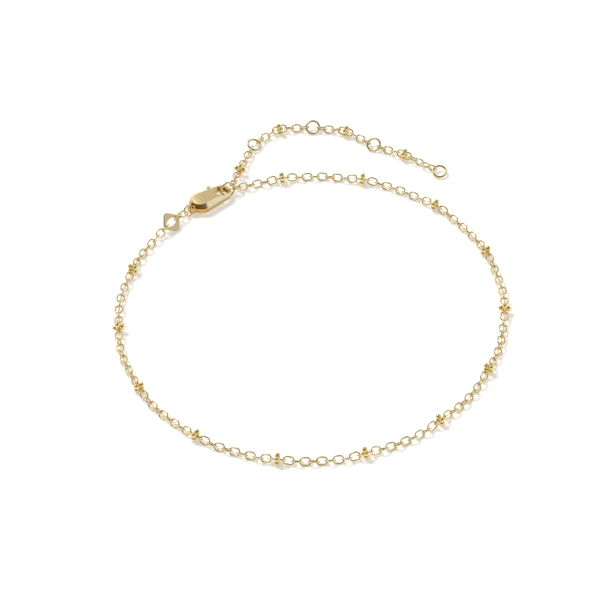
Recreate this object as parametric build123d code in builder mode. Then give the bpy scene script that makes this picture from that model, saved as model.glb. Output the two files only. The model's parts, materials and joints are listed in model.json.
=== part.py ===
from build123d import *
import math
import os
from collections import namedtuple

# Chain anklet with ball stations, a lobster clasp, a small plain tag and an
# extender with rings. It lies on a flat surface, closed, +Z up.
# All sizes are in millimetres and all angles in degrees.

# ---- chain ---------------------------------------------------------------------
WIRE = 0.32                 # wire of every oval link
LINK_LENGTH = 2.23          # outside sizes of a plain link
LINK_WIDTH = 1.66
STATION_LENGTH = 3.33       # the longer link that carries four granules
GRANULE_DIAMETER = 1.04
GRANULE_OFFSET = 0.69       # granule centre from the link's long axis
PLAY = 0.13                 # free space between two pieces that hook together

# ---- round rings ---------------------------------------------------------------
RING_DIAMETER = 3.00        # outside size of the extender's rings
HOOK_RING_DIAMETER = 3.20   # the ring that the clasp closes on
CLASP_RING_DIAMETER = 2.40  # the ring at the clasp's own end
RING_WIRE = 0.45
CLASP_RING_WIRE = 0.34

# ---- tag -----------------------------------------------------------------------
TAG_SIDE = 3.30
TAG_CORNER = 0.75
TAG_THICKNESS = 0.50
TAG_HOLE_LENGTH = 2.85
TAG_HOLE_WIDTH = 1.32
TAG_EDGE = 0.10
TAG_SEAT = 0.22             # extra room that the tag's square edge needs in a link's bow

# ---- lobster clasp, in its own frame: X from its eye to its hook, Z through it ----
CLASP_MIDDLE = 1.12         # height of its middle plane above the surface
CLASP_CROWN = 1.08          # half thickness where it is thickest
CROWN_TOP = 4.60            # and how far along that is
CLASP_HEEL_CROWN = 0.86     # half thickness at the heel
CLASP_HOOK_CROWN = 0.40     # half thickness at the hook's end
CLASP_RIM = 0.46            # half height of its upright rim
CLASP_SLOPE = 0.90          # how far in the sides above the rim lean
HEEL_CENTRE = (3.30, 0.55)  # the blunt round end by the eye
HEEL_RADIUS = 2.45
EYE_CENTRE = (0.96, 0.0)    # the small lug that the clasp's own ring hangs in
EYE_OUTER = 0.96
EYE_HOLE = 0.54
EYE_CROWN = 0.42
HOOK_END_CENTRE = (7.90, 0.80)   # the hook's round outside
HOOK_END_RADIUS = 1.85
BOW_CENTRE = (7.85, 0.60)   # the hook's round inside
BOW_INNER = 0.92
BOW_BEVEL = 0.50            # how much wider the bow is at its faces
BOW_BEVEL_START = 0.15      # and how far from the middle plane it starts to widen
WINDOW_BACK = (6.90, 1.00)  # the narrow back end of the window
WINDOW_BACK_RADIUS = 0.35
CHEEK_FRONT = 6.50          # front edge of the two cheeks
PIVOT = (4.75, 2.00)        # the lever's pin
PIN_RADIUS = 0.30
PIN_PLAY = 0.02             # round the pin in the cheeks
PIN_INSET = 0.04            # each end of the pin below its cheek
LEVER_PLAY = 0.04           # round the pin in the lever
LEVER_ROOT = 0.72           # radius of the lever round its pin
LEVER_GAP = 0.12
LEVER_THICKNESS = 0.80
LEVER_WAIST = (1.70, -0.36, 0.84)   # from the pin: along it, its lower and upper edge there
LEVER_TIP = (-5.5, 13.0)    # the tip's lower and upper edge, round the pin
LEVER_ROOT_ENDS = (-80.0, 100.0)    # where the round root runs into the arm
SLOT_RUN = 0.20             # how far the slot passes the cheeks' front
SLOT_FALL = 0.55            # how far its floor falls towards the front, for the open lever
BEAK_REACH = 3.00           # from the pin to the hook's beak
KNOB_CENTRE = (6.30, 2.95)
KNOB_WIDTH = 0.72
KNOB_LENGTH = 1.30
HOOK_CONTACT = -6.0         # where the hook ring sits, round the bow
EYE_SEAT = 0.38             # extra room that the eye's edge needs in its ring
HOOK_SEAT = 0.50            # extra room that the hook's edge needs in its ring

# ---- how it lies ---------------------------------------------------------------
LOOP_START = 129.8          # polar angle of the clasp's eye, seen from above
LOOP_OVAL = 0.026           # the loop is this much longer one way
LOOP_LEAN = 64.0            # direction of its long axis
RIPPLE = 0.10               # small waves of a chain laid down by hand
RIPPLE_WAVES = 17
LINKS_TO_FIRST_STATION = 6
LINKS_BETWEEN_STATIONS = 9
STATIONS = 13
LINKS_TO_TAG = 8
LINKS_AFTER_TAG = 2
RESTING_ROLL = 45.0         # an oval link rests on two points of its wire
ROLL_SHARPNESS = 0.30       # share of the loop's half width over which it turns over
WOBBLE = 8.0                # uneven roll from link to link
WOBBLE_STEP = 137.5
RING_ROLL = 32.0
END_RING_ROLL = 12.0
HOOK_RING_ROLL = 70.0
CLASP_RING_ROLL = 66.0
TAG_ROLL = 38.0
HOOK_RING_OFFSET = 18.0     # how far round it the clasp and the chain hook below its middle
EXTENDER_OFFSET = 28.0      # and how far above its middle the extender hooks
LARGEST_STEP = 0.25         # how far one link climbs or drops beside a higher piece
RADIUS_RANGE = (30.0, 45.0) # the loop closes at a radius between these
CLOSING_ROUNDS = 60         # halvings of that range
STEP_ROUNDS = 8             # corrections of each step round the loop
EASING_ROUNDS = 4

# Each row is a stretch of the extender: the piece that ends it, the plain links
# before that piece, the direction that they run in, and the piece's own roll.
Stretch = namedtuple("Stretch", "ends_with links heading roll")
EXTENDER = [
    Stretch("station", 3, 76, 84),
    Stretch("ring", 4, 72, -18),
    Stretch("station", 3, 42, -45),
    Stretch("ring", 3, 4, -RING_ROLL),
    Stretch("station", 3, -10, -45),
    Stretch("ring", 3, -38, -RING_ROLL),
    Stretch("station", 3, -26, -52),
    Stretch("end_ring", 4, -34, -END_RING_ROLL),
]

# A laid piece: its kind, its two hooking points and how far it is rolled.
Laid = namedtuple("Laid", "kind start end roll")


# ---- sizes that follow ----------------------------------------------------------
def ring_reach(diameter, wire):
    """From a round ring's centre to the middle of the play at its inner side."""
    return diameter / 2 - wire - PLAY / 2


LINK_REACH = LINK_LENGTH / 2 - WIRE - PLAY / 2
STATION_REACH = STATION_LENGTH / 2 - WIRE - PLAY / 2
HOOK_RING_REACH = ring_reach(HOOK_RING_DIAMETER, RING_WIRE)
TAG_REACH = TAG_HOLE_LENGTH / 2 - TAG_SEAT - PLAY / 2
EYE_POINT = (EYE_CENTRE[0] - EYE_HOLE + EYE_SEAT + PLAY / 2, 0.0)
HOOK_REACH = BOW_INNER - HOOK_SEAT - PLAY / 2
HOOK_POINT = (
    BOW_CENTRE[0] + HOOK_REACH * math.cos(math.radians(HOOK_CONTACT)),
    BOW_CENTRE[1] + HOOK_REACH * math.sin(math.radians(HOOK_CONTACT)),
)
SPAN = {
    "link": 2 * LINK_REACH,
    "station": 2 * STATION_REACH,
    "ring": 2 * ring_reach(RING_DIAMETER, RING_WIRE),
    "end_ring": 2 * ring_reach(RING_DIAMETER, RING_WIRE),
    "hook_ring": 2 * HOOK_RING_REACH * math.cos(math.radians(HOOK_RING_OFFSET)),
    "clasp_ring": 2 * ring_reach(CLASP_RING_DIAMETER, CLASP_RING_WIRE),
    "tag": 2 * TAG_REACH,
    "clasp": math.dist(EYE_POINT, HOOK_POINT),
}
HALF_WIDTH = {
    "link": (LINK_WIDTH - WIRE) / 2,
    "station": GRANULE_OFFSET,
    "ring": (RING_DIAMETER - RING_WIRE) / 2,
    "end_ring": (RING_DIAMETER - RING_WIRE) / 2,
    "hook_ring": (HOOK_RING_DIAMETER - RING_WIRE) / 2,
    "clasp_ring": (CLASP_RING_DIAMETER - CLASP_RING_WIRE) / 2,
    "tag": (TAG_SIDE / 2 - TAG_CORNER) * math.sqrt(2) + TAG_CORNER,
}
HALF_THICKNESS = {
    "link": WIRE / 2,
    "station": GRANULE_DIAMETER / 2,
    "ring": RING_WIRE / 2,
    "end_ring": RING_WIRE / 2,
    "hook_ring": RING_WIRE / 2,
    "clasp_ring": CLASP_RING_WIRE / 2,
    "tag": TAG_THICKNESS / 2,
}


# ---- laying the loop ------------------------------------------------------------
def sine(angle):
    return math.sin(math.radians(angle))


def cosine(angle):
    return math.cos(math.radians(angle))


def rest_height(kind, roll):
    """Height of a piece's axis when it touches the surface at this roll."""
    if kind == "clasp":
        return CLASP_MIDDLE
    lean = abs(sine(roll))
    if kind == "station":
        lean = max(lean, abs(cosine(roll)))
    return HALF_WIDTH[kind] * lean + HALF_THICKNESS[kind]


def facing_roll(angle):
    """Roll of the flatter family of links at a polar angle of the loop."""
    share = sine(angle) / ROLL_SHARPNESS
    return -RESTING_ROLL * max(-1.0, min(1.0, share))


def key_roll(kind, angle):
    """Roll of a piece that sets the roll of the links beside it."""
    fixed = {
        "clasp": 0.0,
        "hook_ring": -HOOK_RING_ROLL,
        "clasp_ring": -CLASP_RING_ROLL,
        "tag": -TAG_ROLL,
    }
    if kind in fixed:
        return fixed[kind]
    return facing_roll(angle) + 90.0


def rolls_between(first, last, links):
    """Rolls of the links between two pieces: quarter turns and as little twist as fits."""
    turn = 90.0 * (links + 1)
    twist = (last - first - turn + 90.0) % 180.0 - 90.0
    step = (turn + twist) / (links + 1)
    return [
        first + step * k + WOBBLE * sine(WOBBLE_STEP * k) * sine(180.0 * k / (links + 1))
        for k in range(1, links + 1)
    ]


def loop_kinds():
    """The closed loop's pieces in order, clockwise from above, starting at the clasp's eye."""
    kinds = ["clasp", "hook_ring"] + ["link"] * LINKS_TO_FIRST_STATION + ["station"]
    for _ in range(STATIONS - 1):
        kinds += ["link"] * LINKS_BETWEEN_STATIONS + ["station"]
    kinds += ["link"] * LINKS_TO_TAG + ["tag"] + ["link"] * LINKS_AFTER_TAG + ["clasp_ring"]
    return kinds


def loop_rolls(kinds):
    """One roll for each piece of the loop."""
    total = sum(SPAN[kind] for kind in kinds)
    rolls, run, waiting = [], 0.0, 0
    for kind in kinds:
        run += SPAN[kind]
        if kind == "link":
            waiting += 1
            continue
        middle = LOOP_START - 360.0 * (run - SPAN[kind] / 2) / total
        roll = key_roll(kind, middle)
        if waiting:
            rolls += rolls_between(rolls[-1], roll, waiting)
            waiting = 0
        rolls.append(roll)
    return rolls


def loop_point(radius, angle, height):
    """Point on the loop's axis at a polar angle."""
    reach = radius * (1 + LOOP_OVAL * cosine(2 * (angle - LOOP_LEAN)))
    reach += RIPPLE * sine(RIPPLE_WAVES * angle)
    return Vector(reach * cosine(angle), reach * sine(angle), height)


def walk_loop(radius, kinds, heights):
    """Hooking points round the loop, each one span from the last, and the angle reached."""
    angle = LOOP_START
    points = [loop_point(radius, angle, heights[0])]
    for kind, height in zip(kinds, heights[1:]):
        step = math.degrees(SPAN[kind] / radius)
        for _ in range(STEP_ROUNDS):
            ahead = loop_point(radius, angle - step, height)
            step *= SPAN[kind] / (ahead - points[-1]).length
        angle -= step
        points.append(loop_point(radius, angle, height))
    return points, angle


def eased(heights):
    """The same heights, raised where one piece would climb or drop by more than its step."""
    for _ in range(EASING_ROUNDS):
        before = [heights[0]] + heights[:-1]
        after = heights[1:] + [heights[-1]]
        heights = [
            max(height, max(beside) - LARGEST_STEP)
            for height, beside in zip(heights, zip(before, after))
        ]
    return heights


def lay_loop():
    """All pieces of the closed loop, at the radius at which it closes."""
    kinds = loop_kinds()
    rolls = loop_rolls(kinds)
    needs = [rest_height(kind, roll) for kind, roll in zip(kinds, rolls)]
    heights = [max(before, after) for before, after in zip([needs[-1]] + needs, needs + [needs[0]])]
    heights[0] = heights[1] = heights[-1] = CLASP_MIDDLE
    heights[2] = 2 * (needs[1] - hook_ring_rise()) - CLASP_MIDDLE
    heights = eased(heights)
    low, high = RADIUS_RANGE
    for _ in range(CLOSING_ROUNDS):
        radius = (low + high) / 2
        points, angle = walk_loop(radius, kinds, heights)
        if angle < LOOP_START - 360.0:
            low = radius
        else:
            high = radius
    points[-1] = points[0]
    return [
        Laid(kind, start, end, roll)
        for kind, start, end, roll in zip(kinds, points, points[1:], rolls)
    ]


def frame_of(piece):
    """Plane of a laid piece: X along its span, Z its rolled normal."""
    along = (piece.end - piece.start).normalized()
    left = Vector(0, 0, 1).cross(along).normalized()
    up = along.cross(left)
    normal = up * cosine(piece.roll) + left * sine(piece.roll)
    return Plane((piece.start + piece.end) / 2, x_dir=along, z_dir=normal)


def hook_ring_rise():
    """Height of the hook ring's centre over the line between its two hooking points."""
    return HOOK_RING_REACH * sine(HOOK_RING_OFFSET) * sine(HOOK_RING_ROLL)


def hook_ring_plane(piece):
    """Plane of the hook ring, whose centre stands off the line between its two links."""
    plane = frame_of(piece)
    aside = HOOK_RING_REACH * sine(HOOK_RING_OFFSET)
    return Plane(plane.origin + plane.y_dir * aside, x_dir=plane.x_dir, z_dir=plane.z_dir)


def extender_start(hook_ring):
    """Where the extender's first link hooks round the hook ring's wire."""
    plane = hook_ring_plane(hook_ring)
    aside = plane.x_dir * cosine(EXTENDER_OFFSET) + plane.y_dir * sine(EXTENDER_OFFSET)
    wire_middle = plane.origin + aside * (HOOK_RING_DIAMETER - RING_WIRE) / 2
    heading = EXTENDER[0].heading
    return wire_middle - Vector(cosine(heading), sine(heading), 0) * (RING_WIRE + PLAY) / 2


def lay_extender(start):
    """All pieces of the extender, from the hook ring to its free end."""
    kinds, headings, rolls = [], [], [-HOOK_RING_ROLL]
    after = [row.heading for row in EXTENDER[1:]] + [EXTENDER[-1].heading]
    for row, heading in zip(EXTENDER, after):
        kinds += ["link"] * row.links + [row.ends_with]
        headings += [row.heading] * row.links + [(row.heading + heading) / 2]
        rolls += rolls_between(rolls[-1], row.roll, row.links) + [row.roll]
    needs = [rest_height(kind, roll) for kind, roll in zip(kinds, rolls[1:])]
    heights = [max(before, after) for before, after in zip(needs, needs[1:] + needs[-1:])]
    heights = eased([start.Z] + heights)[1:]
    laid, point = [], start
    for kind, heading, roll, height in zip(kinds, headings, rolls[1:], heights):
        level = math.sqrt(SPAN[kind] ** 2 - (height - point.Z) ** 2)
        end = Vector(point.X + level * cosine(heading), point.Y + level * sine(heading), height)
        laid.append(Laid(kind, point, end, roll))
        point = end
    return laid


# ---- pieces in their own frames -------------------------------------------------
def oval_link(length):
    """Oval wire link in its XY plane, long axis along X."""
    bow = (LINK_WIDTH - WIRE) / 2
    half = (length - LINK_WIDTH) / 2
    with BuildPart() as link:
        with BuildLine():
            Line((-half, -bow), (half, -bow))
            ThreePointArc((half, -bow), (half + bow, 0), (half, bow))
            Line((half, bow), (-half, bow))
            ThreePointArc((-half, bow), (-half - bow, 0), (-half, -bow))
        with BuildSketch(Plane((-half, -bow, 0), x_dir=(0, 1, 0), z_dir=(1, 0, 0))):
            Circle(WIRE / 2)
        sweep()
    return link.part


def round_ring(diameter, wire):
    """Closed round ring in its XY plane."""
    with BuildPart() as ring:
        Torus((diameter - wire) / 2, wire / 2)
    return ring.part


def station_link():
    """Long link with four granules soldered round its waist, one solid."""
    out = GRANULE_OFFSET
    with BuildPart() as station:
        add(oval_link(STATION_LENGTH))
        with Locations((0, out, 0), (0, -out, 0), (0, 0, out), (0, 0, -out)):
            Sphere(GRANULE_DIAMETER / 2, rotation=(0, 90, 0))
    return station.part


def plain_tag():
    """Soft-cornered square frame on its point, with an oval eye along the chain."""
    with BuildPart() as tag:
        with BuildSketch():
            RectangleRounded(TAG_SIDE, TAG_SIDE, TAG_CORNER, rotation=45)
            Ellipse(TAG_HOLE_LENGTH / 2, TAG_HOLE_WIDTH / 2, mode=Mode.SUBTRACT)
        extrude(amount=TAG_THICKNESS / 2, both=True)
        fillet(tag.faces().group_by(Axis.Z)[0].edges(), TAG_EDGE)
        fillet(tag.faces().group_by(Axis.Z)[-1].edges(), TAG_EDGE)
    return tag.part


def around_pivot(radius, angle):
    """Point round the lever's pin."""
    return (PIVOT[0] + radius * cosine(angle), PIVOT[1] + radius * sine(angle))


def crown_profile():
    """Clasp seen from the side: thickest at the belly, thinner at the heel and the hook."""
    heel_end = HEEL_CENTRE[0] - HEEL_RADIUS
    hook_end = HOOK_END_CENTRE[0] + HOOK_END_RADIUS
    heel_top, hook_top = (heel_end, CLASP_HEEL_CROWN), (hook_end, CLASP_HOOK_CROWN)
    heel_foot, hook_foot = (heel_end, -CLASP_HEEL_CROWN), (hook_end, -CLASP_HOOK_CROWN)
    ThreePointArc(heel_top, (CROWN_TOP, CLASP_CROWN), hook_top)
    Line(hook_top, hook_foot)
    ThreePointArc(hook_foot, (CROWN_TOP, -CLASP_CROWN), heel_foot)
    Line(heel_foot, heel_top)


def window():
    """Opening of the hook, narrow at the back and round at the front."""
    with BuildSketch() as opening:
        with Locations(BOW_CENTRE):
            Circle(BOW_INNER)
        with Locations(WINDOW_BACK):
            Circle(WINDOW_BACK_RADIUS)
        make_hull()
    return opening.sketch


def bow_countersink():
    """Cone that bevels the inside of the hook, for the ring that hangs there."""
    with BuildPart() as cone:
        with Locations((0, 0, BOW_BEVEL_START)):
            Cone(
                BOW_INNER,
                BOW_INNER + BOW_BEVEL,
                CLASP_CROWN - BOW_BEVEL_START,
                align=(Align.CENTER, Align.CENTER, Align.MIN),
            )
    return cone.part


def mouth():
    """Gap between the cheeks and the beak that the lever shuts, its end round the pin."""
    with BuildSketch() as gap:
        with Locations(PIVOT):
            Circle(BEAK_REACH)
        with Locations((CHEEK_FRONT + BEAK_REACH / 2, WINDOW_BACK[1] + BEAK_REACH / 2)):
            Rectangle(BEAK_REACH, BEAK_REACH, mode=Mode.INTERSECT)
    return gap.sketch


def lever_slot():
    """Slot between the cheeks, round the lever's root and open at the back and the front."""
    floor = PIVOT[1] - LEVER_ROOT - LEVER_GAP
    front, top = CHEEK_FRONT + SLOT_RUN, HEEL_RADIUS + CLASP_CROWN
    with BuildSketch() as slot:
        with Locations(PIVOT):
            Circle(LEVER_ROOT + LEVER_GAP)
        with BuildLine():
            Polyline(
                (PIVOT[0], floor),
                (front, floor - SLOT_FALL),
                (front, top),
                (PIVOT[0] - LEVER_ROOT, top),
                close=True,
            )
        make_face()
    return slot.sketch


def clasp_outline(inset=0.0):
    """Clasp seen from above: a blunt round heel that narrows to a round hook."""
    with BuildSketch() as outline:
        with Locations(HEEL_CENTRE):
            Circle(HEEL_RADIUS - inset)
        with Locations(HOOK_END_CENTRE):
            Circle(HOOK_END_RADIUS - inset)
        make_hull()
    return outline.sketch


def clasp_blank():
    """Clasp without its eye and lever: upright rim, sloping sides and crowned faces."""
    with BuildPart() as blank:
        with BuildSketch(Plane.XY.offset(CLASP_RIM)):
            add(clasp_outline())
        with BuildSketch(Plane.XY.offset(CLASP_CROWN)):
            add(clasp_outline(CLASP_SLOPE))
        loft(ruled=True)
        mirror(about=Plane.XY)
        with BuildSketch():
            add(clasp_outline())
        extrude(amount=CLASP_RIM, both=True)
        with BuildSketch(Plane.XZ):
            with BuildLine():
                crown_profile()
            make_face()
        extrude(amount=2 * HEEL_RADIUS, both=True, mode=Mode.INTERSECT)
        with BuildSketch():
            add(window())
            add(mouth())
        extrude(amount=2 * CLASP_CROWN, both=True, mode=Mode.SUBTRACT)
        for turn in (0, 180):
            with Locations(Location((*BOW_CENTRE, 0), (turn, 0, 0))):
                add(bow_countersink(), mode=Mode.SUBTRACT)
    return blank.part


def clasp_body():
    """Clasp body: the blank with an eye lug, a hole for the pin and a slot for the lever."""
    with BuildPart() as body:
        add(clasp_blank())
        with BuildSketch():
            with Locations(EYE_CENTRE):
                Circle(EYE_OUTER)
        extrude(amount=EYE_CROWN, both=True)
        with BuildSketch():
            with Locations(EYE_CENTRE):
                Circle(EYE_HOLE)
            with Locations(PIVOT):
                Circle(PIN_RADIUS + PIN_PLAY)
        extrude(amount=2 * CLASP_CROWN, both=True, mode=Mode.SUBTRACT)
        with BuildSketch():
            add(lever_slot())
        extrude(amount=LEVER_THICKNESS / 2 + LEVER_GAP, both=True, mode=Mode.SUBTRACT)
    return body.part


def clasp_lever():
    """Spring lever: round root on the pin, arm that shuts the mouth, thumb knob outside."""
    tip = BEAK_REACH - LEVER_GAP
    tip_low, tip_high = (around_pivot(tip, angle) for angle in LEVER_TIP)
    root_low, root_high = (around_pivot(LEVER_ROOT, angle) for angle in LEVER_ROOT_ENDS)
    along, low, high = LEVER_WAIST
    with BuildPart() as lever:
        with BuildSketch():
            with BuildLine():
                ThreePointArc(root_high, around_pivot(LEVER_ROOT, 180), root_low)
                ThreePointArc(root_low, (PIVOT[0] + along, PIVOT[1] + low), tip_low)
                ThreePointArc(tip_low, around_pivot(tip, 0), tip_high)
                ThreePointArc(tip_high, (PIVOT[0] + along, PIVOT[1] + high), root_high)
            make_face()
            with Locations(KNOB_CENTRE):
                SlotOverall(KNOB_LENGTH, KNOB_WIDTH, rotation=90)
            with Locations(PIVOT):
                Circle(PIN_RADIUS + LEVER_PLAY, mode=Mode.SUBTRACT)
        extrude(amount=LEVER_THICKNESS / 2, both=True)
    return lever.part


def clasp_pin():
    """Rivet through both cheeks, flush with them."""
    with BuildPart() as pin:
        with Locations(PIVOT):
            Cylinder(PIN_RADIUS, 2 * (CLASP_CROWN - PIN_INSET))
    return pin.part


# ---- putting the pieces where they lie ------------------------------------------
def clasp_plane(piece):
    """Flat plane of the clasp, turned so that its eye and hook points meet their rings."""
    across = math.degrees(math.atan2(HOOK_POINT[1] - EYE_POINT[1], HOOK_POINT[0] - EYE_POINT[0]))
    run = piece.end - piece.start
    turn = math.degrees(math.atan2(run.Y, run.X)) - across
    along = Vector(cosine(turn), sine(turn), 0)
    side = Vector(-sine(turn), cosine(turn), 0)
    origin = piece.start - along * EYE_POINT[0] - side * EYE_POINT[1]
    return Plane(origin, x_dir=along, z_dir=(0, 0, 1))


def set_in(shape, planes):
    """Copies of one shape, one in each plane, as one part of loose solids."""
    with BuildPart() as group:
        with Locations(*[plane.location for plane in planes]):
            add(shape)
    return group.part


def planes_of(laid, kind):
    """Planes of the laid pieces of one kind."""
    return [frame_of(piece) for piece in laid if piece.kind == kind]


def place_all():
    """Every piece of the anklet by name, where it lies."""
    loop = lay_loop()
    extender = lay_extender(extender_start(loop[1]))
    clasp = [clasp_plane(piece) for piece in loop if piece.kind == "clasp"]
    parts = {
        "chain": set_in(oval_link(LINK_LENGTH), planes_of(loop, "link")),
        "extender_chain": set_in(oval_link(LINK_LENGTH), planes_of(extender, "link")),
        "hook_ring": set_in(round_ring(HOOK_RING_DIAMETER, RING_WIRE), [hook_ring_plane(loop[1])]),
        "clasp_ring": set_in(
            round_ring(CLASP_RING_DIAMETER, CLASP_RING_WIRE), planes_of(loop, "clasp_ring")
        ),
        "tag": set_in(plain_tag(), planes_of(loop, "tag")),
        "clasp_body": set_in(clasp_body(), clasp),
        "clasp_lever": set_in(clasp_lever(), clasp),
        "clasp_pin": set_in(clasp_pin(), clasp),
        "end_ring": set_in(
            round_ring(RING_DIAMETER, RING_WIRE), planes_of(extender, "end_ring")
        ),
    }
    for number, plane in enumerate(planes_of(loop, "station"), 1):
        parts[f"station_{number:02d}"] = set_in(station_link(), [plane])
    for number, plane in enumerate(planes_of(extender, "station"), 1):
        parts[f"extender_station_{number}"] = set_in(station_link(), [plane])
    for number, plane in enumerate(planes_of(extender, "ring"), 1):
        parts[f"extender_ring_{number}"] = set_in(round_ring(RING_DIAMETER, RING_WIRE), [plane])
    return parts


def export_all(parts):
    """Write each piece, moved so that the anklet stands on Z = 0 about its box's centre."""
    boxes = [shape.bounding_box() for shape in parts.values()]
    middle_x = (min(box.min.X for box in boxes) + max(box.max.X for box in boxes)) / 2
    middle_y = (min(box.min.Y for box in boxes) + max(box.max.Y for box in boxes)) / 2
    lowest = min(box.min.Z for box in boxes)
    os.makedirs("parts", exist_ok=True)
    for name, shape in parts.items():
        piece = shape.moved(Location((-middle_x, -middle_y, -lowest)))
        piece.label = name
        export_step(piece, f"parts/{name}.step")


if __name__ == "__main__":
    export_all(place_all())
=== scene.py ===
"""Fine gold chain anklet with bead stations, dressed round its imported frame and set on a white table."""
import json
import math

import bmesh
import bpy
import numpy as np
from bpy.props import FloatProperty, FloatVectorProperty, IntProperty, PointerProperty
from mathutils import Matrix, Vector


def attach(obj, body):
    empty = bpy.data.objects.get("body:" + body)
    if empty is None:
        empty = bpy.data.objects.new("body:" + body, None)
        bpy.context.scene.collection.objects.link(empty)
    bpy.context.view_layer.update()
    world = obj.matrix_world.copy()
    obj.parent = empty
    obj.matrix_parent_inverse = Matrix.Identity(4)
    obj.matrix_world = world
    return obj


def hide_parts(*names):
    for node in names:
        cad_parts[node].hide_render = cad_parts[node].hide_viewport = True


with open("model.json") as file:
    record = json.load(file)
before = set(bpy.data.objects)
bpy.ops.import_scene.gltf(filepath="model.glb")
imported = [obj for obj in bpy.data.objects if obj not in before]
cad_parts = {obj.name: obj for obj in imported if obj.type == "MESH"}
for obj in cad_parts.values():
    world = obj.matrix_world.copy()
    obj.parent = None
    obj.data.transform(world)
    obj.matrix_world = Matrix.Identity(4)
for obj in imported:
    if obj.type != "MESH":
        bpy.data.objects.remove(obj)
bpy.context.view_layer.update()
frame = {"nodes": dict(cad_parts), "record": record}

bl_info = {
    "name": "Chain anklet",
    "version": (1, 0, 0),
    "blender": (4, 5, 0),
    "location": "View3D > Sidebar > Anklet",
    "description": "Makes the links, beads, rings, tag and clasp of a fine gold anklet, and its stage",
    "category": "Object",
}

# ---- the frame -------------------------------------------------------------------
LOOP_STATIONS = sorted(name for name in frame["nodes"] if name.startswith("station_"))
EXTENDER_STATIONS = sorted(name for name in frame["nodes"] if name.startswith("extender_station_"))
ROUND_RINGS = sorted(name for name in frame["nodes"] if name.endswith("_ring") or "_ring_" in name)
CLASP_PARTS = {"clasp_body": "anklet", "clasp_lever": "lever", "clasp_pin": "anklet"}
ANKLE = next(Vector(m["pos_m"]) for m in frame["record"]["mounts"] if m["name"] == "ankle_opening")

# ---- sizes -----------------------------------------------------------------------
MM = 0.001
WIRE = 0.32 * MM
LINK_LENGTH = 2.23 * MM
LINK_WIDTH = 1.66 * MM
LINK_STEPS = 14  # straight steps round a plain link
LINK_SIDES = 6  # faces round its wire
STATION_LENGTH = 3.33 * MM
STATION_STEPS = 22  # steps and faces of the longer link that carries the beads
STATION_SIDES = 8
BEAD = 1.04 * MM
BEAD_FACES = (14, 20)  # rings and segments of a bead
BEAD_OFFSET = 0.69 * MM
BEADS_ROUND = 4
CLEAR_OF_BEAD = 0.6  # share of a bead's diameter, from its centre outwards, that clears it
CLEAR_ALONG = 0.6  # share of that distance from the station's middle that clears the beads along the link
SOLDER = 0.46 * MM
SOLDER_FACES = (8, 12)
EDGE = 0.13 * MM  # width of the rounded edges of the clasp and the tag
EDGE_STEPS = 3
SHARP = math.radians(24)  # an edge that turns more than this is rounded
FLAT = math.radians(0.5)  # faces that turn less than this are one face
MERGE = 1e-7  # corners closer than this, in metres, are one corner

# ---- finish of the metal, with painted shade on the clasp ------------------------
# How much wear each metal has, from 0 to 1.
LINK_WEAR, BEAD_WEAR, RING_WEAR, TAG_WEAR, CLASP_WEAR = 0.30, 0.45, 0.35, 0.30, 0.25
BEAD_ROUGHNESS = 0.8  # as a share of the polished metal's
TAG_ROUGHNESS = 0.8  # as a share of the brushed faces'
CLOUD_SCALE = 420.0  # soft change of tone, a few millimetres across
RUB_SCALE = 3200.0  # fine rubbing
DENT_SCALE = 1500.0  # tiny dents
WORN_RANGE = (0.42, 0.72)  # cloud value where wear starts, and where it is full
RUB_LIFT = 0.25  # how far rubbing changes the roughness
WORN_ROUGHNESS = 0.12  # roughness that full wear adds
BUMP_DEPTH = 0.02 * MM
DENT_STRENGTH = 0.06
MARK_STRENGTH = 0.12
MARK_ROUGHNESS = 0.10  # roughness that the brush marks add
MARK_SCALE = (900.0, 14000.0, 14000.0)  # brush marks, long along the clasp and fine across it
FACE_RANGE = (0.90, 0.975)  # how upright a surface is where the brushing starts, and where it is full
PAINTED_WALL_SHADE_RANGE = (0.45, 0.15)  # the same for the painted shade on the side walls
PAINTED_SHADE_SIDE = (-0.50, -0.87, 0.0)  # painted shade: the clasp's gold is darkest and most amber where it faces this way
PAINTED_SHADE_RANGE = (0.30, 0.60)  # how squarely it faces that way where the painted shade starts, and where it is full

# ---- stage -----------------------------------------------------------------------
# Brightness of the room at heights from the horizon, 0, to straight above, 1.
BEHIND = [(0.0, 1.0), (0.25, 0.92), (0.55, 0.60), (0.74, 0.57), (0.90, 0.10)]
IN_FRONT = [(0.0, 0.95), (0.25, 0.80), (0.50, 0.28), (0.74, 0.14), (0.92, 0.20)]
FRONT_TO_BACK = (-0.3, 0.5)  # where the front of the room gives way to the back
WARMTH = (1.0, 1.15, 1.45)  # powers of red, green and blue that warm the darker parts
SCREEN = (0.95, 0.95, 0.95, 1.0)  # pale screen on the right
SCREEN_RANGE = (0.44, 0.66)  # how far to the right it starts, and where it is full
SOFTBOX = (3.0, 3.0, 2.8, 1.0)  # soft light where the main lamp stands, as the metal shows it
SOFTBOX_RANGE = (0.94, 0.985)  # how squarely the metal looks at it
TABLE_REACH = 2.0  # from its middle to its edge
TABLE_DROP = 0.01 * MM
TABLE_SEEN = (0.72, 0.72, 0.72, 1.0)  # the table's colour to the eye, before its glow
TABLE_GLOW = 0.385
VIEW_SHIFT = Vector((-2.15 * MM, 3.87 * MM, 0))  # middle of the view from the middle of the loop


# ---- what a user may change ------------------------------------------------------
def size(name, description, default):
    """A length."""
    return FloatProperty(name=name, description=description, default=default, unit="LENGTH", precision=5)


def angle(name, description, degrees):
    """An angle, given in degrees."""
    turn = math.radians(degrees)
    return FloatProperty(name=name, description=description, default=turn, subtype="ANGLE", unit="ROTATION")


def share(name, description, default):
    """A value from 0 to 1."""
    return FloatProperty(name=name, description=description, default=default, subtype="FACTOR", min=0, max=1)


def tone(name, description, default):
    """A colour."""
    return FloatVectorProperty(
        name=name, description=description, default=default, subtype="COLOR", min=0, max=1,
    )


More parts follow.
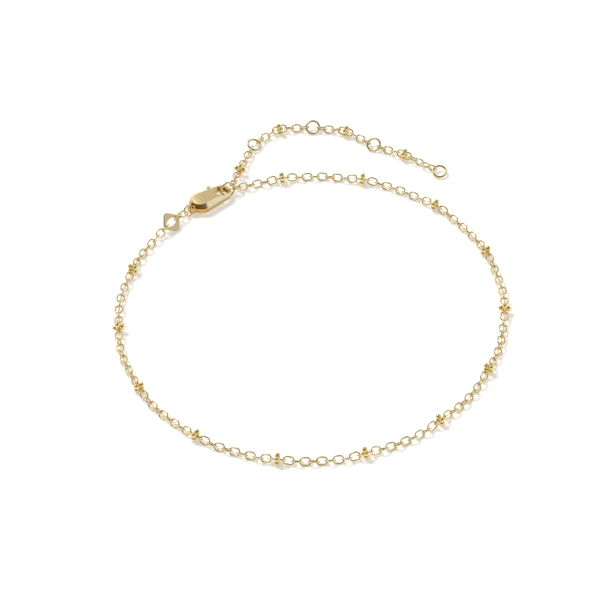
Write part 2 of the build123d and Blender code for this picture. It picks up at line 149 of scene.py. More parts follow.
class AnkletChain(bpy.types.PropertyGroup):
    """Sizes of the oval links."""

    wire: size("Wire", "Thickness of the link wire", WIRE)
    length: size("Link length", "Outside length of a plain link", LINK_LENGTH)
    width: size("Link width", "Outside width of every oval link", LINK_WIDTH)
    bow_steps: IntProperty(
        name="Steps round a link", description="Straight steps that a link's wire takes round its oval",
        default=LINK_STEPS, min=10, max=30,
    )
    wire_sides: IntProperty(
        name="Sides of the wire", description="Faces round the wire", default=LINK_SIDES, min=5, max=16,
    )


class AnkletBeads(bpy.types.PropertyGroup):
    """Sizes of the bead stations."""

    link_length: size("Station length", "Outside length of the link that carries the beads", STATION_LENGTH)
    bead: size("Bead", "Diameter of one bead", BEAD)
    offset: size("Bead offset", "Bead centre from the link's long axis", BEAD_OFFSET)
    solder: size("Solder", "Diameter of the solder between two beads", SOLDER)


class AnkletGold(bpy.types.PropertyGroup):
    """Colours and polish of the metal."""

    wire_colour: tone("Wire gold", "Colour of the links", (0.77, 0.65, 0.37))
    bead_colour: tone("Bead gold", "Colour of the bead stations", (0.81, 0.67, 0.34))
    ring_colour: tone("Ring gold", "Colour of the round rings", (0.74, 0.65, 0.38))
    # Painted shade: the tag's gold is a darker copy of the links' gold, kept dark against the light it
    # catches.
    tag_painted_shade_colour: tone("Tag gold with painted shade", "Darkened colour of the flat tag, painted shade", (0.57, 0.48, 0.28))
    clasp_colour: tone("Clasp gold", "Colour of the polished parts of the clasp", (0.90, 0.75, 0.49))
    face_colour: tone("Brushed gold", "Colour of the brushed faces of the clasp", (0.92, 0.76, 0.44))
    # Painted shade: the clasp's side walls take this darker gold.
    painted_wall_shade_colour: tone("Painted wall shade", "Painted shade on the side walls of the clasp", (0.60, 0.48, 0.26))
    # Painted shade: a deeper, more amber gold on the side of the clasp that faces front and left.
    painted_side_shade_colour: tone("Painted side shade", "Painted shade on one side of the clasp", (0.64, 0.38, 0.10))
    shade_colour: tone("Worn gold", "Deeper colour in worn and handled places", (0.74, 0.51, 0.22))
    polish: share("Polished roughness", "Roughness of the polished metal", 0.16)
    brushing: share("Brushed roughness", "Roughness of the brushed faces", 0.30)
    edge: size("Rounded edge", "Width of the rounded edges of the clasp and the tag", EDGE)


class AnkletStage(bpy.types.PropertyGroup):
    """Table, lamp and camera."""

    elevation: angle("Camera height", "Angle that the camera looks down at", 45.232)
    distance: size("Camera distance", "From the middle of the view to the camera", 0.52919)
    lens: FloatProperty(name="Lens", description="Focal length of the camera in millimetres", default=171.6)
    lamp_elevation: angle("Lamp height", "Angle of the main lamp above the table", 55)
    lamp_heading: angle("Lamp direction", "Where the main lamp stands, seen from above", 138)
    lamp_spread: angle("Lamp size", "Apparent size of the main lamp", 20)
    lamp_strength: FloatProperty(name="Lamp strength", description="Strength of the main lamp", default=1.8)
    table_colour: tone("Table", "Colour of the table", (0.95, 0.95, 0.95))


# ---- node helpers ----------------------------------------------------------------
def add_node(tree, kind, inputs=None, **settings):
    """A node with its settings made and its inputs set or joined."""
    node = tree.nodes.new(kind)
    for name, value in settings.items():
        setattr(node, name, value)
    for socket, value in (inputs or {}).items():
        if isinstance(value, bpy.types.NodeSocket):
            tree.links.new(value, node.inputs[socket])
        else:
            node.inputs[socket].default_value = value
    return node


def add_math(tree, operation, first, second=0.0):
    """Result of one sum."""
    return add_node(tree, "ShaderNodeMath", {0: first, 1: second}, operation=operation).outputs[0]


def add_mix(tree, factor, first, second):
    """Blend of two colours."""
    inputs = {"Factor": factor, "A": first, "B": second}
    return add_node(tree, "ShaderNodeMix", inputs, data_type="RGBA").outputs["Result"]


def add_step(tree, value, ends, shape="SMOOTHSTEP"):
    """Rise from 0 to 1 as a value goes from one end to the other."""
    inputs = {"Value": value, "From Min": ends[0], "From Max": ends[1]}
    return add_node(tree, "ShaderNodeMapRange", inputs, interpolation_type=shape).outputs[0]


def add_axes(tree, vector):
    """The three parts of a vector."""
    return add_node(tree, "ShaderNodeSeparateXYZ", {0: vector}).outputs


def add_dot(tree, first, second):
    """How far two directions agree."""
    inputs = {0: first, 1: second}
    return add_node(tree, "ShaderNodeVectorMath", inputs, operation="DOT_PRODUCT").outputs["Value"]


def add_noise(tree, vector, scale, detail, roughness):
    """Value of a noise pattern."""
    inputs = {"Vector": vector, "Scale": scale, "Detail": detail, "Roughness": roughness}
    return add_node(tree, "ShaderNodeTexNoise", inputs).outputs[0]


def new_tree(name, kind, inputs, outputs):
    """Node tree with named sockets, and its two end nodes."""
    tree = bpy.data.node_groups.new(name, kind)
    for label, socket, value in inputs:
        made = tree.interface.new_socket(label, in_out="INPUT", socket_type=socket)
        if value is not None:
            made.default_value = value
    for label, socket in outputs:
        tree.interface.new_socket(label, in_out="OUTPUT", socket_type=socket)
    return tree, tree.nodes.new("NodeGroupInput").outputs, tree.nodes.new("NodeGroupOutput")


# ---- where the loose pieces lie --------------------------------------------------
def merged_triangles(mesh):
    """A node's corners and its triangles, each corner once."""
    corners = np.empty(len(mesh.vertices) * 3, np.float32)
    mesh.vertices.foreach_get("co", corners)
    corners = corners.reshape(-1, 3).astype(float)
    order = np.empty(len(mesh.loops), np.int32)
    mesh.loops.foreach_get("vertex_index", order)
    cells = np.round(corners / MERGE).astype(np.int64)
    _, first, same = np.unique(cells, axis=0, return_index=True, return_inverse=True)
    return corners[first], same.ravel()[order].reshape(-1, 3)


def loose_solids(corners, triangles):
    """Number of the loose solid that each triangle belongs to."""
    label = np.arange(len(corners))
    while True:
        lowest = label[triangles].min(1)
        new = label.copy()
        for side in range(3):
            np.minimum.at(new, triangles[:, side], lowest)
        new = new[new]
        if (new == label).all():
            return label[triangles[:, 0]]
        label = new


def weighted_middles(corners, triangles):
    """Middle of each triangle, and its area."""
    a, b, c = (corners[triangles[:, side]] for side in range(3))
    area = np.linalg.norm(np.cross(b - a, c - a), axis=1)[:, None]
    return (a + b + c) / 3, area


def area_moments(corners, triangles):
    """Centre of a surface, and its axes from the longest to the shortest."""
    middle, area = weighted_middles(corners, triangles)
    centre = (middle * area).sum(0) / area.sum()
    spread = (middle - centre) * np.sqrt(area)
    _, axes = np.linalg.eigh(spread.T @ spread)
    return centre, axes[:, ::-1].T


def turned(long_axis, wide_axis):
    """Rotation angles that lay X along a link and Y across it."""
    flat = np.cross(long_axis, wide_axis)
    return Matrix(np.column_stack([long_axis, wide_axis, flat]).tolist()).to_euler()


def link_places(node):
    """Centre and turn of every loose link of a node."""
    corners, triangles = merged_triangles(frame["nodes"][node].data)
    solid = loose_solids(corners, triangles)
    places = []
    for number in np.unique(solid):
        centre, axes = area_moments(corners, triangles[solid == number])
        places.append((centre, turned(axes[0], axes[1])))
    return places


def main_direction(corners, triangles, centre, along=None):
    """Longest way that triangles reach from a centre, or the longest way square to an axis."""
    middle, area = weighted_middles(corners, triangles)
    reach = middle - centre
    if along is not None:
        reach = reach - np.outer(reach @ along, along)
    spread = reach * np.sqrt(area)
    return np.linalg.eigh(spread.T @ spread)[1][:, 2]


def station_place(node, bare_from):
    """Centre and turn of a bead station, read from its link, bare at a distance from the centre."""
    corners, triangles = merged_triangles(frame["nodes"][node].data)
    centre = area_moments(corners, triangles)[0]
    far = np.linalg.norm(corners - centre, axis=1)[triangles].min(1)
    long_axis = main_direction(corners, triangles[far > bare_from], centre)
    along = np.abs((corners - centre) @ long_axis)[triangles].min(1)
    bare = triangles[along > bare_from * CLEAR_ALONG]
    return centre, turned(long_axis, main_direction(corners, bare, centre, long_axis))


def points_mesh(name, places):
    """Mesh of bare points that carry each piece's turn."""
    mesh = bpy.data.meshes.new(name)
    mesh.from_pydata([tuple(centre) for centre, _ in places], [], [])
    turns = mesh.attributes.new("turn", "FLOAT_VECTOR", "POINT")
    turns.data.foreach_set("vector", [part for _, turn in places for part in turn])
    return mesh


# ---- geometry trees --------------------------------------------------------------
def link_sockets(length, width, wire, steps, sides):
    """Named sizes of an oval link."""
    return [
        ("Length", "NodeSocketFloat", length),
        ("Width", "NodeSocketFloat", width),
        ("Wire", "NodeSocketFloat", wire),
        ("Bow Steps", "NodeSocketInt", steps),
        ("Wire Sides", "NodeSocketInt", sides),
    ]


def station_sockets(length, width, wire, bead, offset, solder):
    """Named sizes of a bead station."""
    return [
        ("Length", "NodeSocketFloat", length),
        ("Width", "NodeSocketFloat", width),
        ("Wire", "NodeSocketFloat", wire),
        ("Bead", "NodeSocketFloat", bead),
        ("Offset", "NodeSocketFloat", offset),
        ("Solder", "NodeSocketFloat", solder),
    ]


def oval_link_tree():
    """Oval wire link in its own XY plane, long axis along X."""
    sizes = link_sockets(LINK_LENGTH, LINK_WIDTH, WIRE, LINK_STEPS, LINK_SIDES)
    tree, given, out = new_tree("Oval link", "GeometryNodeTree", sizes, [("Mesh", "NodeSocketGeometry")])
    bow = add_math(tree, "MULTIPLY", add_math(tree, "SUBTRACT", given["Width"], given["Wire"]), 0.5)
    circle = add_node(tree, "GeometryNodeCurvePrimitiveCircle", {
        "Resolution": given["Bow Steps"],
        "Radius": bow,
    })
    place = add_axes(tree, add_node(tree, "GeometryNodeInputPosition").outputs[0])
    half = add_math(tree, "MULTIPLY", add_math(tree, "SUBTRACT", given["Length"], given["Width"]), 0.5)
    shift = add_math(tree, "MULTIPLY", add_math(tree, "SIGN", place["X"]), half)
    step = add_math(tree, "DIVIDE", math.pi, given["Bow Steps"])
    oval = add_node(tree, "ShaderNodeCombineXYZ", {
        "X": add_math(tree, "ADD", place["X"], shift),
        "Y": add_math(tree, "DIVIDE", place["Y"], add_math(tree, "COSINE", step)),
    })
    path = add_node(tree, "GeometryNodeSetPosition", {
        "Geometry": circle.outputs["Curve"],
        "Position": oval.outputs[0],
    })
    section = add_node(tree, "GeometryNodeCurvePrimitiveCircle", {
        "Resolution": given["Wire Sides"],
        "Radius": add_math(tree, "MULTIPLY", given["Wire"], 0.5),
    })
    wire = add_node(tree, "GeometryNodeCurveToMesh", {
        "Curve": path.outputs[0],
        "Profile Curve": section.outputs["Curve"],
    })
    tree.links.new(wire.outputs[0], out.inputs["Mesh"])
    return tree


def ball(tree, diameter, distance, turn, faces):
    """A ball at a distance from the link's long axis, at an angle round it."""
    place = add_node(tree, "ShaderNodeCombineXYZ", {
        "Y": add_math(tree, "MULTIPLY", distance, math.cos(turn)),
        "Z": add_math(tree, "MULTIPLY", distance, math.sin(turn)),
    })
    sphere = add_node(tree, "GeometryNodeMeshUVSphere", {
        "Rings": faces[0],
        "Segments": faces[1],
        "Radius": add_math(tree, "MULTIPLY", diameter, 0.5),
    })
    placed = add_node(tree, "GeometryNodeTransform", {
        "Geometry": sphere.outputs["Mesh"],
        "Translation": place.outputs[0],
    })
    return placed.outputs[0]


def station_tree(link_tree):
    """Long link with four beads round its waist and solder between them."""
    sizes = station_sockets(STATION_LENGTH, LINK_WIDTH, WIRE, BEAD, BEAD_OFFSET, SOLDER)
    tree, given, out = new_tree("Bead station", "GeometryNodeTree", sizes, [("Mesh", "NodeSocketGeometry")])
    link_sizes = {name: given[name] for name in ("Length", "Width", "Wire")}
    link_sizes.update({"Bow Steps": STATION_STEPS, "Wire Sides": STATION_SIDES})
    link = add_node(tree, "GeometryNodeGroup", link_sizes, node_tree=link_tree)
    whole = add_node(tree, "GeometryNodeJoinGeometry")
    tree.links.new(link.outputs[0], whole.inputs[0])
    between = math.pi / BEADS_ROUND
    solder_at = add_math(tree, "MULTIPLY", given["Offset"], math.cos(between))
    for number in range(BEADS_ROUND):
        turn = 2 * between * number
        bead = ball(tree, given["Bead"], given["Offset"], turn, BEAD_FACES)
        solder = ball(tree, given["Solder"], solder_at, turn + between, SOLDER_FACES)
        tree.links.new(bead, whole.inputs[0])
        tree.links.new(solder, whole.inputs[0])
    tree.links.new(whole.outputs[0], out.inputs["Mesh"])
    return tree


def repeat_tree(name, piece_tree, sizes):
    """One piece set on every point, with the point's own turn, as plain mesh in one metal."""
    tree, given, out = new_tree(
        name, "GeometryNodeTree",
        [("Points", "NodeSocketGeometry", None)] + sizes + [("Metal", "NodeSocketMaterial", None)],
        [("Mesh", "NodeSocketGeometry")],
    )
    piece_sizes = {label: given[label] for label, _, _ in sizes}
    piece = add_node(tree, "GeometryNodeGroup", piece_sizes, node_tree=piece_tree)
    turn = add_node(tree, "GeometryNodeInputNamedAttribute", {"Name": "turn"}, data_type="FLOAT_VECTOR")
    spread = add_node(tree, "GeometryNodeInstanceOnPoints", {
        "Points": given["Points"],
        "Instance": piece.outputs[0],
        "Rotation": turn.outputs[0],
    })
    plain = add_node(tree, "GeometryNodeRealizeInstances", {"Geometry": spread.outputs[0]})
    smooth = add_node(tree, "GeometryNodeSetShadeSmooth", {"Geometry": plain.outputs[0]})
    metal = add_node(tree, "GeometryNodeSetMaterial", {
        "Geometry": smooth.outputs[0],
        "Material": given["Metal"],
    })
    tree.links.new(metal.outputs[0], out.inputs["Mesh"])
    return tree


def evaluated_copy(source, name):
    """Plain mesh object with a source's modifiers applied; the source goes."""
    graph = bpy.context.evaluated_depsgraph_get()
    finished = source.evaluated_get(graph)
    mesh = bpy.data.meshes.new_from_object(finished, preserve_all_data_layers=True, depsgraph=graph)
    bpy.data.objects.remove(source)
    mesh.name = name
    made = bpy.data.objects.new(name, mesh)
    bpy.context.scene.collection.objects.link(made)
    return made


def grown(name, places, tree, values):
    """Plain mesh object made by a tree on the places of the loose pieces."""
    seed = bpy.data.objects.new(name + "_points", points_mesh(name + "_points", places))
    bpy.context.scene.collection.objects.link(seed)
    nodes = seed.modifiers.new("Repeat", "NODES")
    nodes.node_group = tree
    inputs = [item for item in tree.interface.items_tree if item.in_out == "INPUT"]
    sockets = {item.name: item.identifier for item in inputs}
    for label, value in values.items():
        nodes[sockets[label]] = value
    made = evaluated_copy(seed, name)
    if len(made.data.polygons) < len(places):
        raise RuntimeError(f"{name}: the tree made no pieces")
    return made


def dress(piece, metal):
    """A piece takes one metal all over."""
    piece.data.materials.clear()
    piece.data.materials.append(metal)


def softened(node, width, metal):
    """Copy of a node with its sharp edges rounded and its broad faces left flat."""
    mesh = frame["nodes"][node].data.copy()
    shape = bmesh.new()
    shape.from_mesh(mesh)
    bmesh.ops.remove_doubles(shape, verts=shape.verts, dist=MERGE)
    bmesh.ops.dissolve_limit(shape, angle_limit=FLAT, verts=shape.verts, edges=shape.edges)
    shape.to_mesh(mesh)
    shape.free()
    mesh.shade_smooth()
    rough = bpy.data.objects.new(node + "_rough", mesh)
    bpy.context.scene.collection.objects.link(rough)
    edges = rough.modifiers.new("Edges", "BEVEL")
    edges.width = width
    edges.segments = EDGE_STEPS
    edges.angle_limit = SHARP
    rough.modifiers.new("Flat faces", "WEIGHTED_NORMAL")
    piece = evaluated_copy(rough, node + "_finished")
    dress(piece, metal)
    return piece


def settle(piece, body, slot_name, *nodes):
    """A finished piece rides on its body and stands for its nodes."""
    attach(piece, body)
    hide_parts(*nodes)


# ---- metals ----------------------------------------------------------------------
def rgba(colour):
    """Colour with full opacity."""
    return (*colour, 1.0)


def handling_group():
    """Wear of handled gold: a soft tone change, fine rubbing and tiny dents."""
    if "Handled gold" in bpy.data.node_groups:
        return bpy.data.node_groups["Handled gold"]
    gold = bpy.context.scene.anklet_gold
    tree, given, out = new_tree(
        "Handled gold", "ShaderNodeTree",
        [
            ("Clean", "NodeSocketColor", rgba(gold.wire_colour)),
            ("Worn", "NodeSocketColor", rgba(gold.shade_colour)),
            ("Wear", "NodeSocketFloat", LINK_WEAR),
            ("Roughness", "NodeSocketFloat", gold.polish),
        ],
        [("Colour", "NodeSocketColor"), ("Roughness", "NodeSocketFloat"), ("Height", "NodeSocketFloat")],
    )
    place = add_node(tree, "ShaderNodeTexCoord").outputs["Object"]
    cloud = add_noise(tree, place, CLOUD_SCALE, 3.0, 0.6)
    rub = add_noise(tree, place, RUB_SCALE, 4.0, 0.65)
    dent_place = {"Vector": place, "Scale": DENT_SCALE}
    dents = add_node(tree, "ShaderNodeTexVoronoi", dent_place, feature="SMOOTH_F1").outputs["Distance"]
    amount = add_math(tree, "MULTIPLY", add_step(tree, cloud, WORN_RANGE, "LINEAR"), given["Wear"])
    colour = add_mix(tree, amount, given["Clean"], given["Worn"])
    lift = add_math(tree, "MULTIPLY", add_math(tree, "SUBTRACT", rub, 0.5), RUB_LIFT)
    rough = add_math(tree, "MULTIPLY", given["Roughness"], add_math(tree, "ADD", 1.0, lift))
    rough = add_math(tree, "ADD", rough, add_math(tree, "MULTIPLY", amount, WORN_ROUGHNESS))
    height = add_math(tree, "ADD", rub, dents)
    tree.links.new(colour, out.inputs["Colour"])
    tree.links.new(rough, out.inputs["Roughness"])
    tree.links.new(height, out.inputs["Height"])
    return tree


def cast_finish_group(name, heading):
    """Masks of a flat casting's brushed faces, painted wall shade and painted side shade, and its brush
    marks.
    """
    tree, given, out = new_tree(
        name, "ShaderNodeTree",
        [("Coarseness", "NodeSocketFloat", 1.0)],
        [(label, "NodeSocketFloat") for label in ("Face", "Wall shade", "Deep", "Marks")],
    )
    surface = add_node(tree, "ShaderNodeTexCoord").outputs
    upright = add_math(tree, "ABSOLUTE", add_axes(tree, surface["Normal"])["Z"])
    # How squarely the surface faces the side that takes painted shade.
    shaded_side_facing = add_dot(tree, surface["Normal"], PAINTED_SHADE_SIDE)
    turned_place = {"Vector": surface["Object"], "Rotation": (0, 0, -heading)}
    along = add_node(tree, "ShaderNodeMapping", turned_place, vector_type="POINT")
    stretch = {0: along.outputs[0], 1: MARK_SCALE}
    drawn = add_node(tree, "ShaderNodeVectorMath", stretch, operation="MULTIPLY")
    tree.links.new(add_step(tree, upright, FACE_RANGE), out.inputs["Face"])
    # Painted shade on the side walls, where the surface stands upright.
    tree.links.new(add_step(tree, upright, PAINTED_WALL_SHADE_RANGE), out.inputs["Wall shade"])
    # Painted shade on the side that faces front and left.
    tree.links.new(add_step(tree, shaded_side_facing, PAINTED_SHADE_RANGE), out.inputs["Deep"])
    marks = add_noise(tree, drawn.outputs[0], given["Coarseness"], 2.0, 0.6)
    tree.links.new(marks, out.inputs["Marks"])
    return tree


def new_metal(name, colour, wear, roughness):
    """Metal material with its tree, its shader and the shared wear's outputs, which aren't joined yet."""
    material = bpy.data.materials.new(name)
    material.use_nodes = True
    tree = material.node_tree
    tree.nodes.clear()
    shader = add_node(tree, "ShaderNodeBsdfPrincipled", {"Metallic": 1.0})
    add_node(tree, "ShaderNodeOutputMaterial", {"Surface": shader.outputs[0]})
    worn = rgba(bpy.context.scene.anklet_gold.shade_colour)
    values = {"Clean": rgba(colour), "Worn": worn, "Wear": wear, "Roughness": roughness}
    handled = add_node(tree, "ShaderNodeGroup", values, node_tree=handling_group())
    return material, tree, shader, handled.outputs


def add_bump(tree, height, strength, **below):
    """Normal of a surface with a fine relief."""
    inputs = {"Height": height, "Strength": strength, "Distance": BUMP_DEPTH, **below}
    return add_node(tree, "ShaderNodeBump", inputs).outputs[0]


def polished_gold(name, colour, wear, roughness):
    """Polished gold with slight wear."""
    if name in bpy.data.materials:
        return bpy.data.materials[name]
    material, tree, shader, handled = new_metal(name, colour, wear, roughness)
    tree.links.new(handled["Colour"], shader.inputs["Base Color"])
    tree.links.new(handled["Roughness"], shader.inputs["Roughness"])
    tree.links.new(add_bump(tree, handled["Height"], DENT_STRENGTH), shader.inputs["Normal"])
    return material


def cast_gold(name, node, wear):
    """Cast gold: brushed broad faces, polished slopes, painted shade on the side walls and on one side."""
    if name in bpy.data.materials:
        return bpy.data.materials[name]
    gold = bpy.context.scene.anklet_gold
    corners, triangles = merged_triangles(frame["nodes"][node].data)
    long_axis = area_moments(corners, triangles)[1][0]
    finish_tree = cast_finish_group(name + " finish", math.atan2(long_axis[1], long_axis[0]))
    material, tree, shader, handled = new_metal(name, gold.clasp_colour, wear, gold.polish)
    finish = add_node(tree, "ShaderNodeGroup", {}, node_tree=finish_tree).outputs
    mark = add_math(tree, "MULTIPLY", finish["Marks"], finish["Face"])
    colour = add_mix(tree, finish["Face"], handled["Colour"], rgba(gold.face_colour))
    # Painted shade: a darker gold on the side walls.
    colour = add_mix(tree, finish["Wall shade"], colour, rgba(gold.painted_wall_shade_colour))
    # Painted shade: a deeper, more amber gold on the side facing front and left.
    colour = add_mix(tree, finish["Deep"], colour, rgba(gold.painted_side_shade_colour))
    blend = {"Factor": finish["Face"], "A": handled["Roughness"], "B": gold.brushing}
    rough = add_node(tree, "ShaderNodeMix", blend).outputs["Result"]
    rough = add_math(tree, "ADD", rough, add_math(tree, "MULTIPLY", mark, MARK_ROUGHNESS))
    dents = add_bump(tree, handled["Height"], DENT_STRENGTH)
    tree.links.new(colour, shader.inputs["Base Color"])
    tree.links.new(rough, shader.inputs["Roughness"])
    tree.links.new(add_bump(tree, mark, MARK_STRENGTH, Normal=dents), shader.inputs["Normal"])
    return material


# ---- operators for the anklet ----------------------------------------------------
class ANKLET_OT_links(bpy.types.Operator):
    """Make the loose oval links of the loop and of the extender"""

    bl_idname = "anklet.links"
    bl_label = "Oval links"

    def execute(self, context):
        chain, gold = context.scene.anklet_chain, context.scene.anklet_gold
        sizes = link_sockets(chain.length, chain.width, chain.wire, chain.bow_steps, chain.wire_sides)
        tree = repeat_tree("Loose links", oval_link_tree(), sizes)
        values = {label: value for label, _, value in sizes}
        values["Metal"] = polished_gold("Link gold", gold.wire_colour, LINK_WEAR, gold.polish)
        for node in ("chain", "extender_chain"):
            links = grown(node + "_links", link_places(node), tree, values)
            settle(links, "anklet", "chain_wire", node)
        return {"FINISHED"}


class ANKLET_OT_stations(bpy.types.Operator):
    """Make the bead stations of the loop and of the extender"""

    bl_idname = "anklet.stations"
    bl_label = "Bead stations"

    def execute(self, context):
        scene = context.scene
        chain, beads, gold = scene.anklet_chain, scene.anklet_beads, scene.anklet_gold
        sizes = station_sockets(
            beads.link_length, chain.width, chain.wire, beads.bead, beads.offset, beads.solder,
        )
        link_tree = bpy.data.node_groups.get("Oval link") or oval_link_tree()
        tree = repeat_tree("Bead stations", station_tree(link_tree), sizes)
        values = {label: value for label, _, value in sizes}
        roughness = gold.polish * BEAD_ROUGHNESS
        values["Metal"] = polished_gold("Bead gold", gold.bead_colour, BEAD_WEAR, roughness)
        bare_from = beads.offset + beads.bead * CLEAR_OF_BEAD
        for name, nodes in (("loop_stations", LOOP_STATIONS), ("extender_stations", EXTENDER_STATIONS)):
            stations = grown(name, [station_place(node, bare_from) for node in nodes], tree, values)
            settle(stations, "anklet", "granules", *nodes)
        return {"FINISHED"}


class ANKLET_OT_rings(bpy.types.Operator):
    """Finish the round rings"""

    bl_idname = "anklet.rings"
    bl_label = "Round rings"

    def execute(self, context):
        gold = context.scene.anklet_gold
        metal = polished_gold("Ring gold", gold.ring_colour, RING_WEAR, gold.polish)
        for name in ROUND_RINGS:
            dress(frame["nodes"][name], metal)
        return {"FINISHED"}


class ANKLET_OT_tag(bpy.types.Operator):
    """Finish the small plain tag"""

    bl_idname = "anklet.tag"
    bl_label = "Tag"

    def execute(self, context):
        gold = context.scene.anklet_gold
        roughness = gold.brushing * TAG_ROUGHNESS
        # The tag's darker gold is painted shade.
        metal = polished_gold("Tag gold with painted shade", gold.tag_painted_shade_colour, TAG_WEAR, roughness)
        settle(softened("tag", gold.edge, metal), "anklet", "tag_metal", "tag")
        return {"FINISHED"}


class ANKLET_OT_clasp(bpy.types.Operator):
    """Finish the clasp body, its lever and its pin"""

    bl_idname = "anklet.clasp"
    bl_label = "Lobster clasp"

    def execute(self, context):
        cast = cast_gold("Clasp gold", "clasp_body", CLASP_WEAR)
        for name, body in CLASP_PARTS.items():
            settle(softened(name, context.scene.anklet_gold.edge, cast), body, "clasp_metal", name)
        return {"FINISHED"}


# ---- table, room, lamp and camera ------------------------------------------------
def table_material(colour):
    """White table that keeps its shadow and looks as white in metal as it does to the eye."""
    material = bpy.data.materials.new("White table")
    material.use_nodes = True
    tree = material.node_tree
    tree.nodes.clear()
    plain = add_node(tree, "ShaderNodeBsdfDiffuse", {"Color": rgba(colour)})
    seen = add_node(tree, "ShaderNodeBsdfDiffuse", {"Color": TABLE_SEEN})
    glow = add_node(tree, "ShaderNodeEmission", {"Color": (1.0, 1.0, 1.0, 1.0), "Strength": TABLE_GLOW})
    bright = add_node(tree, "ShaderNodeAddShader", {0: seen.outputs[0], 1: glow.outputs[0]})
    ray = add_node(tree, "ShaderNodeLightPath").outputs
    direct = add_math(tree, "MAXIMUM", ray["Is Camera Ray"], ray["Is Glossy Ray"])
    direct = add_math(tree, "MAXIMUM", direct, ray["Is Transmission Ray"])
    mixed = add_node(tree, "ShaderNodeMixShader", {0: direct, 1: plain.outputs[0], 2: bright.outputs[0]})
    add_node(tree, "ShaderNodeOutputMaterial", {"Surface": mixed.outputs[0]})
    return material


def make_table(colour):
    """Wide flat table under the anklet."""
    mesh = bpy.data.meshes.new("table")
    shape = bmesh.new()
    bmesh.ops.create_grid(shape, x_segments=8, y_segments=8, size=TABLE_REACH)
    bmesh.ops.translate(shape, vec=(0, 0, -TABLE_DROP), verts=shape.verts)
    shape.to_mesh(mesh)
    shape.free()
    mesh.materials.append(table_material(colour))
    table = bpy.data.objects.new("table", mesh)
    bpy.context.scene.collection.objects.link(table)


def sky_band(tree, height, stops):
    """Brightness that follows the height above the horizon, warmer where it is darker."""
    ramp = add_node(tree, "ShaderNodeValToRGB", {"Fac": height})
    ramp.color_ramp.interpolation = "EASE"
    for position, _ in stops[2:]:
        ramp.color_ramp.elements.new(position)
    for element, (position, level) in zip(ramp.color_ramp.elements, stops):
        element.position = position
        element.color = rgba(level ** power for power in WARMTH)
    return ramp.outputs[0]


def lamp_direction(stage):
    """From the anklet towards the main lamp."""
    level = math.cos(stage.lamp_elevation)
    across, back = level * math.cos(stage.lamp_heading), level * math.sin(stage.lamp_heading)
    return Vector((across, back, math.sin(stage.lamp_elevation)))


def make_room(stage):
    """Soft room: pale low walls, a dim warm ceiling, a screen on the right and the main lamp's softbox."""
    world = bpy.data.worlds.new("Soft room")
    bpy.context.scene.world = world
    world.use_nodes = True
    tree = world.node_tree
    tree.nodes.clear()
    heading = add_node(tree, "ShaderNodeTexCoord").outputs["Generated"]
    way = add_axes(tree, heading)
    behind = sky_band(tree, way["Z"], BEHIND)
    front = sky_band(tree, way["Z"], IN_FRONT)
    light = add_mix(tree, add_step(tree, way["Y"], FRONT_TO_BACK), front, behind)
    light = add_mix(tree, add_step(tree, way["X"], SCREEN_RANGE), light, SCREEN)
    facing = add_dot(tree, heading, lamp_direction(stage))
    light = add_mix(tree, add_step(tree, facing, SOFTBOX_RANGE), light, SOFTBOX)
    back = add_node(tree, "ShaderNodeBackground", {"Color": light, "Strength": 1.0})
    add_node(tree, "ShaderNodeOutputWorld", {"Surface": back.outputs[0]})


def make_lamp(stage):
    """Main lamp, high at the back and to the left, kept out of the metal, where it would burn white."""
    light = bpy.data.lights.new("main_lamp", "SUN")
    light.energy = stage.lamp_strength
    light.angle = stage.lamp_spread
    lamp = bpy.data.objects.new("main_lamp", light)
    towards = lamp_direction(stage)
    lamp.rotation_euler = towards.to_track_quat("Z", "Y").to_euler()
    lamp.location = ANKLE + towards
    lamp.visible_glossy = False
    bpy.context.scene.collection.objects.link(lamp)


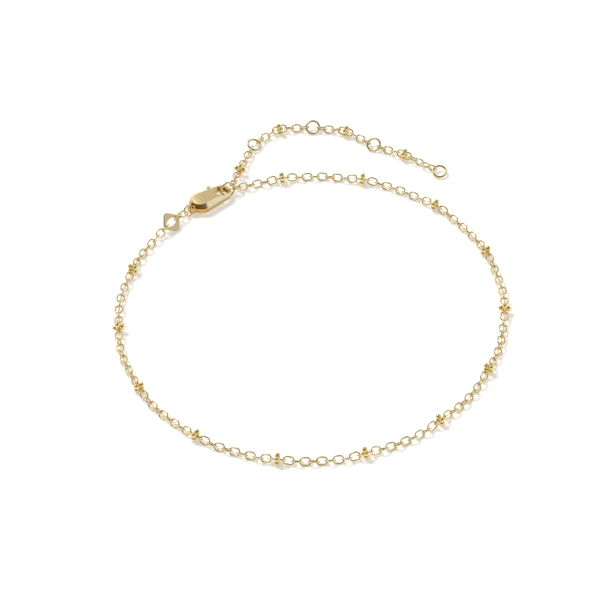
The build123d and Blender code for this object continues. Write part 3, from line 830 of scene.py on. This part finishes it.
def make_camera(stage):
    """Camera that looks down across the loop."""
    view = bpy.data.cameras.new("camera")
    view.lens = stage.lens
    view.sensor_width = 36
    view.clip_start = 0.01
    camera = bpy.data.objects.new("camera", view)
    target = Vector((ANKLE.x, ANKLE.y, 0)) + VIEW_SHIFT
    back = Vector((0, -math.cos(stage.elevation), math.sin(stage.elevation)))
    camera.location = target + back * stage.distance
    camera.rotation_euler = back.to_track_quat("Z", "Y").to_euler()
    bpy.context.scene.collection.objects.link(camera)
    bpy.context.scene.camera = camera


class ANKLET_OT_stage(bpy.types.Operator):
    """Set the table, the room, the lamp and the camera"""

    bl_idname = "anklet.stage"
    bl_label = "Stage"

    def execute(self, context):
        stage = context.scene.anklet_stage
        context.scene.view_settings.view_transform = "Standard"
        make_table(stage.table_colour)
        make_room(stage)
        make_lamp(stage)
        make_camera(stage)
        return {"FINISHED"}


# ---- add-on ----------------------------------------------------------------------
SETTINGS = {
    "anklet_chain": AnkletChain,
    "anklet_beads": AnkletBeads,
    "anklet_gold": AnkletGold,
    "anklet_stage": AnkletStage,
}
OPERATORS = (
    ANKLET_OT_links, ANKLET_OT_stations, ANKLET_OT_rings, ANKLET_OT_tag, ANKLET_OT_clasp, ANKLET_OT_stage,
)


class ANKLET_PT_sidebar(bpy.types.Panel):
    """Buttons that make the anklet"""

    bl_idname = "ANKLET_PT_sidebar"
    bl_label = "Chain anklet"
    bl_space_type = "VIEW_3D"
    bl_region_type = "UI"
    bl_category = "Anklet"

    def draw(self, context):
        for group in SETTINGS:
            settings = getattr(context.scene, group)
            box = self.layout.box()
            for name in settings.__annotations__:
                box.prop(settings, name)
        for operator in OPERATORS:
            self.layout.operator(operator.bl_idname)


CLASSES = (*SETTINGS.values(), *OPERATORS, ANKLET_PT_sidebar)


def register():
    """Register the classes and their settings."""
    for kind in CLASSES:
        bpy.utils.register_class(kind)
    for name, kind in SETTINGS.items():
        setattr(bpy.types.Scene, name, PointerProperty(type=kind))


def unregister():
    """Take the classes and their settings away."""
    for name in SETTINGS:
        delattr(bpy.types.Scene, name)
    for kind in reversed(CLASSES):
        bpy.utils.unregister_class(kind)


def main():
    """Make the anklet and its stage."""
    register()
    bpy.ops.anklet.links()
    bpy.ops.anklet.stations()
    bpy.ops.anklet.rings()
    bpy.ops.anklet.tag()
    bpy.ops.anklet.clasp()
    bpy.ops.anklet.stage()


if __name__ == "__main__":
    main()
